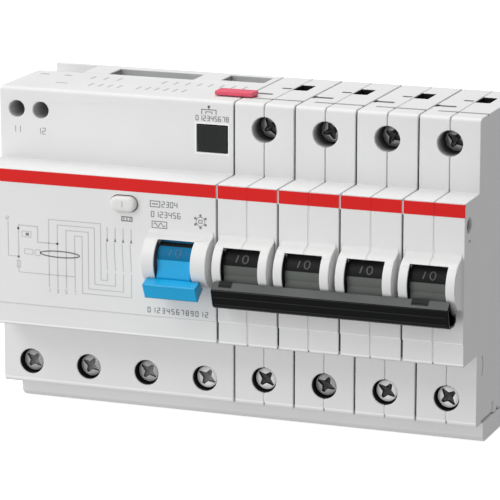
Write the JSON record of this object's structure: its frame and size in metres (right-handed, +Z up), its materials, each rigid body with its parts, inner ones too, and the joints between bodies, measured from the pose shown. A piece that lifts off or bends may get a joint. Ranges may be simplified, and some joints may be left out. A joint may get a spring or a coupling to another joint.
{
  "type": "residual current device",
  "caption": "Rail-mounted residual current circuit breaker: a test-button block with a toggle, joined to breaker poles whose toggles share one bar, with screw clamps above and below.",
  "frame": {"origin": "on the plane where the unit seats on the rail, at the height of the rail's centre line, where the residual current block meets the breaker poles", "axes": "+X along the rail towards the breaker poles, +Y back into the rail (the front faces -Y), +Z up"},
  "size_m": [0.1396, 0.0721, 0.0924],
  "materials": {
    "housing": "fine matte moulded polyamide, light grey",
    "toggle_black": "matte black moulded plastic",
    "bar_black": "satin black moulded plastic",
    "handle_blue": "satin blue moulded plastic",
    "button_white": "matte off-white moulded plastic",
    "window_black": "smoked smooth plastic",
    "clip_red": "matte pink-red moulded plastic",
    "rail_clip_grey": "matte dark grey moulded plastic",
    "screw_zinc": "zinc-plated steel",
    "plated_steel": "plated pressed steel",
    "copper": "bare copper",
    "core": "lacquered wound strip core",
    "relay_case": "dark matte moulded case"
  },
  "bodies": {
    "housing": {"pole_1_left_shell": "housing", "pole_1_right_shell": "housing", "pole_2_left_shell": "housing", "pole_2_right_shell": "housing", "pole_3_left_shell": "housing", "pole_3_right_shell": "housing", "pole_4_left_shell": "housing", "pole_4_right_shell": "housing", "rcd_front_cover": "housing", "rcd_rear_base": "housing", "indicator_window": "window_black", "coupling_clip": "clip_red", "summation_core": "core", "primary_conductors": "copper", "trip_relay": "relay_case", "test_spring": "plated_steel", "pole_1_trip_unit": "plated_steel", "pole_2_trip_unit": "plated_steel", "pole_3_trip_unit": "plated_steel", "pole_4_trip_unit": "plated_steel"},
    "breaker_toggles": {"pole_1_toggle": "toggle_black", "pole_2_toggle": "toggle_black", "pole_3_toggle": "toggle_black", "pole_4_toggle": "toggle_black", "toggle_tie_bar": "bar_black"},
    "contact_arms": {"pole_1_contact_arm": "copper", "pole_2_contact_arm": "copper", "pole_3_contact_arm": "copper", "pole_4_contact_arm": "copper"},
    "rcd_toggle": {"rcd_toggle": "handle_blue"},
    "test_button": {"test_button": "button_white"},
    "trip_shaft": {"trip_shaft": "plated_steel"},
    "rcd_rail_clip": {"rcd_rail_clip": "rail_clip_grey"},
    "mcb_rail_clip": {"mcb_rail_clip": "rail_clip_grey"},
    "pole_1_line_screw": {"pole_1_line_screw": "screw_zinc"},
    "pole_1_line_cage": {"pole_1_line_cage": "plated_steel"},
    "pole_1_load_screw": {"pole_1_load_screw": "screw_zinc"},
    "pole_1_load_cage": {"pole_1_load_cage": "plated_steel"},
    "rcd_screw_1": {"rcd_screw_1": "screw_zinc"},
    "rcd_cage_1": {"rcd_cage_1": "plated_steel"},
    "pole_2_line_screw": {"pole_2_line_screw": "screw_zinc"},
    "pole_2_line_cage": {"pole_2_line_cage": "plated_steel"},
    "pole_2_load_screw": {"pole_2_load_screw": "screw_zinc"},
    "pole_2_load_cage": {"pole_2_load_cage": "plated_steel"},
    "rcd_screw_2": {"rcd_screw_2": "screw_zinc"},
    "rcd_cage_2": {"rcd_cage_2": "plated_steel"},
    "pole_3_line_screw": {"pole_3_line_screw": "screw_zinc"},
    "pole_3_line_cage": {"pole_3_line_cage": "plated_steel"},
    "pole_3_load_screw": {"pole_3_load_screw": "screw_zinc"},
    "pole_3_load_cage": {"pole_3_load_cage": "plated_steel"},
    "rcd_screw_3": {"rcd_screw_3": "screw_zinc"},
    "rcd_cage_3": {"rcd_cage_3": "plated_steel"},
    "pole_4_line_screw": {"pole_4_line_screw": "screw_zinc"},
    "pole_4_line_cage": {"pole_4_line_cage": "plated_steel"},
    "pole_4_load_screw": {"pole_4_load_screw": "screw_zinc"},
    "pole_4_load_cage": {"pole_4_load_cage": "plated_steel"},
    "rcd_screw_4": {"rcd_screw_4": "screw_zinc"},
    "rcd_cage_4": {"rcd_cage_4": "plated_steel"},
    "aux_screw_1": {"aux_screw_1": "screw_zinc"},
    "aux_screw_2": {"aux_screw_2": "screw_zinc"}
  },
  "joints": [
    {"name": "breaker_toggle_swing", "type": "hinge", "parent": "housing", "child": "breaker_toggles", "pos_m": [0.035, -0.0572, 0.0004], "axis": [-1, 0, 0], "range_deg": [0, 75]},
    {"name": "contact_swing", "type": "hinge", "parent": "housing", "child": "contact_arms", "pos_m": [0.035, -0.036, 0.005], "axis": [1, 0, 0], "range_deg": [0, 15.5]},
    {"name": "rcd_toggle_swing", "type": "hinge", "parent": "housing", "child": "rcd_toggle", "pos_m": [-0.0106, -0.0572, 0.0004], "axis": [-1, 0, 0], "range_deg": [0, 75]},
    {"name": "test_button_press", "type": "slide", "parent": "housing", "child": "test_button", "axis": [0, 1, 0], "range_m": [0, 0.0012], "stiffness_N_per_m": 500, "springref_m": -0.002, "deforming": ["test_spring"]},
    {"name": "trip_shaft_turn", "type": "hinge", "parent": "housing", "child": "trip_shaft", "pos_m": [0.0264, -0.0536, 0.0155], "axis": [1, 0, 0], "range_deg": [0, 12], "stiffness_Nm_per_rad": 0.02, "springref_deg": -17.19},
    {"name": "rcd_rail_clip_slide", "type": "slide", "parent": "housing", "child": "rcd_rail_clip", "axis": [0, 0, -1], "range_m": [0, 0.004], "stiffness_N_per_m": 1500, "springref_m": -0.002},
    {"name": "mcb_rail_clip_slide", "type": "slide", "parent": "housing", "child": "mcb_rail_clip", "axis": [0, 0, -1], "range_m": [0, 0.004], "stiffness_N_per_m": 1500, "springref_m": -0.002},
    {"name": "pole_1_line_cage_slide", "type": "slide", "parent": "housing", "child": "pole_1_line_cage", "axis": [0, -1, 0], "range_m": [0, 0.0032]},
    {"name": "pole_1_line_screw_turn", "type": "hinge", "parent": "housing", "child": "pole_1_line_screw", "pos_m": [0.00875, -0.0416, 0.03525], "axis": [0, 1, 0], "range_deg": [0, 1440]},
    {"name": "pole_1_load_cage_slide", "type": "slide", "parent": "housing", "child": "pole_1_load_cage", "axis": [0, -1, 0], "range_m": [0, 0.005]},
    {"name": "pole_1_load_screw_turn", "type": "hinge", "parent": "housing", "child": "pole_1_load_screw", "pos_m": [0.00875, -0.0416, -0.0349], "axis": [0, 1, 0], "range_deg": [0, 2250]},
    {"name": "rcd_1_cage_slide", "type": "slide", "parent": "housing", "child": "rcd_cage_1", "axis": [0, -1, 0], "range_m": [0, 0.0042]},
    {"name": "rcd_1_screw_turn", "type": "hinge", "parent": "housing", "child": "rcd_screw_1", "pos_m": [-0.06125, -0.0416, -0.0361], "axis": [0, 1, 0], "range_deg": [0, 1890]},
    {"name": "pole_2_line_cage_slide", "type": "slide", "parent": "housing", "child": "pole_2_line_cage", "axis": [0, -1, 0], "range_m": [0, 0.0032]},
    {"name": "pole_2_line_screw_turn", "type": "hinge", "parent": "housing", "child": "pole_2_line_screw", "pos_m": [0.02625, -0.0416, 0.03525], "axis": [0, 1, 0], "range_deg": [0, 1440]},
    {"name": "pole_2_load_cage_slide", "type": "slide", "parent": "housing", "child": "pole_2_load_cage", "axis": [0, -1, 0], "range_m": [0, 0.005]},
    {"name": "pole_2_load_screw_turn", "type": "hinge", "parent": "housing", "child": "pole_2_load_screw", "pos_m": [0.02625, -0.0416, -0.0349], "axis": [0, 1, 0], "range_deg": [0, 2250]},
    {"name": "rcd_2_cage_slide", "type": "slide", "parent": "housing", "child": "rcd_cage_2", "axis": [0, -1, 0], "range_m": [0, 0.0042]},
    {"name": "rcd_2_screw_turn", "type": "hinge", "parent": "housing", "child": "rcd_screw_2", "pos_m": [-0.04375, -0.0416, -0.0361], "axis": [0, 1, 0], "range_deg": [0, 1890]},
    {"name": "pole_3_line_cage_slide", "type": "slide", "parent": "housing", "child": "pole_3_line_cage", "axis": [0, -1, 0], "range_m": [0, 0.0032]},
    {"name": "pole_3_line_screw_turn", "type": "hinge", "parent": "housing", "child": "pole_3_line_screw", "pos_m": [0.04375, -0.0416, 0.03525], "axis": [0, 1, 0], "range_deg": [0, 1440]},
    {"name": "pole_3_load_cage_slide", "type": "slide", "parent": "housing", "child": "pole_3_load_cage", "axis": [0, -1, 0], "range_m": [0, 0.005]},
    {"name": "pole_3_load_screw_turn", "type": "hinge", "parent": "housing", "child": "pole_3_load_screw", "pos_m": [0.04375, -0.0416, -0.0349], "axis": [0, 1, 0], "range_deg": [0, 2250]},
    {"name": "rcd_3_cage_slide", "type": "slide", "parent": "housing", "child": "rcd_cage_3", "axis": [0, -1, 0], "range_m": [0, 0.0042]},
    {"name": "rcd_3_screw_turn", "type": "hinge", "parent": "housing", "child": "rcd_screw_3", "pos_m": [-0.02625, -0.0416, -0.0361], "axis": [0, 1, 0], "range_deg": [0, 1890]},
    {"name": "pole_4_line_cage_slide", "type": "slide", "parent": "housing", "child": "pole_4_line_cage", "axis": [0, -1, 0], "range_m": [0, 0.0032]},
    {"name": "pole_4_line_screw_turn", "type": "hinge", "parent": "housing", "child": "pole_4_line_screw", "pos_m": [0.06125, -0.0416, 0.03525], "axis": [0, 1, 0], "range_deg": [0, 1440]},
    {"name": "pole_4_load_cage_slide", "type": "slide", "parent": "housing", "child": "pole_4_load_cage", "axis": [0, -1, 0], "range_m": [0, 0.005]},
    {"name": "pole_4_load_screw_turn", "type": "hinge", "parent": "housing", "child": "pole_4_load_screw", "pos_m": [0.06125, -0.0416, -0.0349], "axis": [0, 1, 0], "range_deg": [0, 2250]},
    {"name": "rcd_4_cage_slide", "type": "slide", "parent": "housing", "child": "rcd_cage_4", "axis": [0, -1, 0], "range_m": [0, 0.0042]},
    {"name": "rcd_4_screw_turn", "type": "hinge", "parent": "housing", "child": "rcd_screw_4", "pos_m": [-0.00875, -0.0416, -0.0361], "axis": [0, 1, 0], "range_deg": [0, 1890]},
    {"name": "aux_screw_1_turn", "type": "hinge", "parent": "housing", "child": "aux_screw_1", "pos_m": [-0.06465, -0.036, 0.0363], "axis": [0, 1, 0], "range_deg": [0, 1080]},
    {"name": "aux_screw_2_turn", "type": "hinge", "parent": "housing", "child": "aux_screw_2", "pos_m": [-0.0574, -0.036, 0.0363], "axis": [0, 1, 0], "range_deg": [0, 1080]}
  ],
  "couplings": [
    {"joint": "contact_swing", "follows": "breaker_toggle_swing", "ratio": 0.2},
    {"joint": "pole_1_line_screw_turn", "follows": "pole_1_line_cage_slide", "rad_per_m": 7853.9},
    {"joint": "pole_1_load_screw_turn", "follows": "pole_1_load_cage_slide", "rad_per_m": 7853.9},
    {"joint": "rcd_1_screw_turn", "follows": "rcd_1_cage_slide", "rad_per_m": 7853.9},
    {"joint": "pole_2_line_screw_turn", "follows": "pole_2_line_cage_slide", "rad_per_m": 7853.9},
    {"joint": "pole_2_load_screw_turn", "follows": "pole_2_load_cage_slide", "rad_per_m": 7853.9},
    {"joint": "rcd_2_screw_turn", "follows": "rcd_2_cage_slide", "rad_per_m": 7853.9},
    {"joint": "pole_3_line_screw_turn", "follows": "pole_3_line_cage_slide", "rad_per_m": 7853.9},
    {"joint": "pole_3_load_screw_turn", "follows": "pole_3_load_cage_slide", "rad_per_m": 7853.9},
    {"joint": "rcd_3_screw_turn", "follows": "rcd_3_cage_slide", "rad_per_m": 7853.9},
    {"joint": "pole_4_line_screw_turn", "follows": "pole_4_line_cage_slide", "rad_per_m": 7853.9},
    {"joint": "pole_4_load_screw_turn", "follows": "pole_4_load_cage_slide", "rad_per_m": 7853.9},
    {"joint": "rcd_4_screw_turn", "follows": "rcd_4_cage_slide", "rad_per_m": 7853.9}
  ]
}
